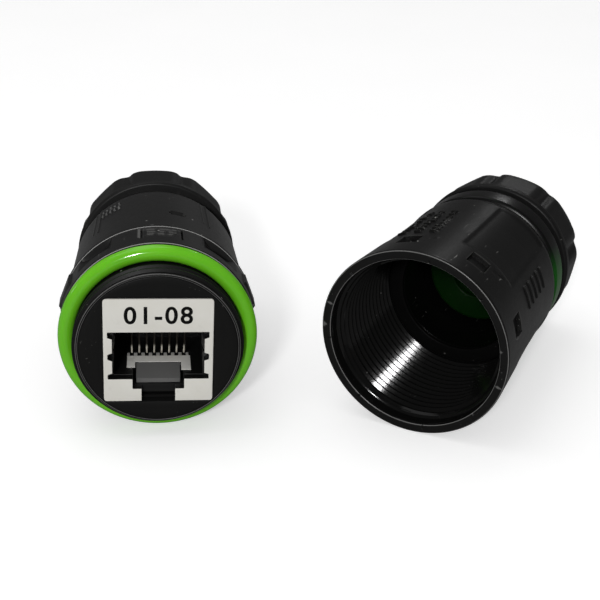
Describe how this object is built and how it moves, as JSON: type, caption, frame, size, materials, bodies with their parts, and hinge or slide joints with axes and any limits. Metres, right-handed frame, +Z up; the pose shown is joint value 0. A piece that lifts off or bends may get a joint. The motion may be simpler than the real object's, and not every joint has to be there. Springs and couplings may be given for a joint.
{
  "type": "weatherproof in-line rj45 connector pair",
  "caption": "Weatherproof in-line RJ45 connector pair: a round jack half with a threaded nose and seal, and a cable half with a captive screw sleeve, both with lobed cable glands.",
  "frame": {"origin": "centre of the bounding box's bottom face, at the level the pair lies on", "axes": "+Z up; the jack half's axis runs along Y with its port facing -Y, and it is rolled 2.8 degrees clockwise seen from the front; +X points from the jack half to the cable half; the cable half's axis is turned 33 degrees from Y about Z"},
  "size_m": [0.0776, 0.0518, 0.0266],
  "materials": {
    "black_nylon": "satin moulded nylon",
    "black_plastic": "fine satin moulded plastic",
    "board_laminate": "glass-epoxy board with a solder mask",
    "contact_gold": "gold-plated phosphor bronze",
    "green_rubber": "glossy silicone rubber",
    "grey_plastic": "light grey moulded plastic",
    "shield_steel": "tinned sheet steel"
  },
  "bodies": {
    "jack_half": {"jack_housing": "black_nylon", "jack_carrier": "black_nylon", "front_o_ring": "green_rubber", "carrier_o_ring": "green_rubber", "module_face": "grey_plastic", "jack_insert": "black_plastic", "latch_ramp": "black_plastic", "contact_comb": "grey_plastic", "shield_shell": "shield_steel", "shield_spring_left": "shield_steel", "shield_spring_right": "shield_steel", "circuit_board": "board_laminate", "idc_block": "grey_plastic", "idc_contact_1": "contact_gold", "idc_contact_2": "contact_gold", "idc_contact_3": "contact_gold", "idc_contact_4": "contact_gold", "idc_contact_5": "contact_gold", "idc_contact_6": "contact_gold", "idc_contact_7": "contact_gold", "idc_contact_8": "contact_gold", "jack_clamp_cage": "black_plastic", "jack_cable_seal": "green_rubber"},
    "contact_wires": {"contact_1": "contact_gold", "contact_2": "contact_gold", "contact_3": "contact_gold", "contact_4": "contact_gold", "contact_5": "contact_gold", "contact_6": "contact_gold", "contact_7": "contact_gold", "contact_8": "contact_gold"},
    "jack_nut_carriage": {"jack_slip_washer": "grey_plastic"},
    "jack_nut": {"jack_gland_nut": "black_nylon"},
    "cable_half": {"rear_body": "black_nylon", "retaining_ring": "black_plastic", "neck_gasket": "green_rubber", "sleeve_clamp_cage": "black_plastic", "sleeve_cable_seal": "green_rubber"},
    "sleeve_carriage": {"thrust_washer": "grey_plastic"},
    "sleeve": {"coupling_sleeve": "black_nylon"},
    "sleeve_nut_carriage": {"sleeve_slip_washer": "grey_plastic"},
    "sleeve_nut": {"sleeve_gland_nut": "black_nylon"}
  },
  "joints": [
    {"name": "contact_flex", "type": "hinge", "parent": "jack_half", "child": "contact_wires", "pos_m": [-0.02541, -0.01453, 0.01612], "axis": [0.9988, 0, -0.0489], "range_deg": [0, 36]},
    {"name": "jack_nut_travel", "type": "slide", "parent": "jack_half", "child": "jack_nut_carriage", "axis": [0, 1, 0], "range_m": [-0.00051, 0.00301]},
    {"name": "jack_nut_turn", "type": "hinge", "parent": "jack_nut_carriage", "child": "jack_nut", "pos_m": [-0.02554, 0.01947, 0.0133], "axis": [0, 1, 0], "range_deg": [-150, 900]},
    {"name": "swing", "type": "hinge", "parent": "jack_half", "child": "cable_half", "pos_m": [-0.00856, -0.01293, 0.0133], "axis": [0, 0, -1], "range_deg": [0, 147]},
    {"name": "sleeve_travel", "type": "slide", "parent": "cable_half", "child": "sleeve_carriage", "axis": [-0.5446, -0.8387, 0], "range_m": [0, 0.00321]},
    {"name": "sleeve_turn", "type": "hinge", "parent": "sleeve_carriage", "child": "sleeve", "pos_m": [0.015, -0.00783, 0.0133], "axis": [-0.5446, -0.8387, 0], "range_deg": [0, 960]},
    {"name": "sleeve_nut_travel", "type": "slide", "parent": "cable_half", "child": "sleeve_nut_carriage", "axis": [0.5446, 0.8387, 0], "range_m": [-0.00051, 0.00301]},
    {"name": "sleeve_nut_turn", "type": "hinge", "parent": "sleeve_nut_carriage", "child": "sleeve_nut", "pos_m": [0.02752, 0.01145, 0.0133], "axis": [0.5446, 0.8387, 0], "range_deg": [-150, 900]}
  ],
  "couplings": [
    {"joint": "jack_nut_travel", "follows": "jack_nut_turn", "m_per_rad": 0.00019099},
    {"joint": "sleeve_travel", "follows": "sleeve_turn", "m_per_rad": 0.00019099},
    {"joint": "sleeve_nut_travel", "follows": "sleeve_nut_turn", "m_per_rad": 0.00019099}
  ]
}
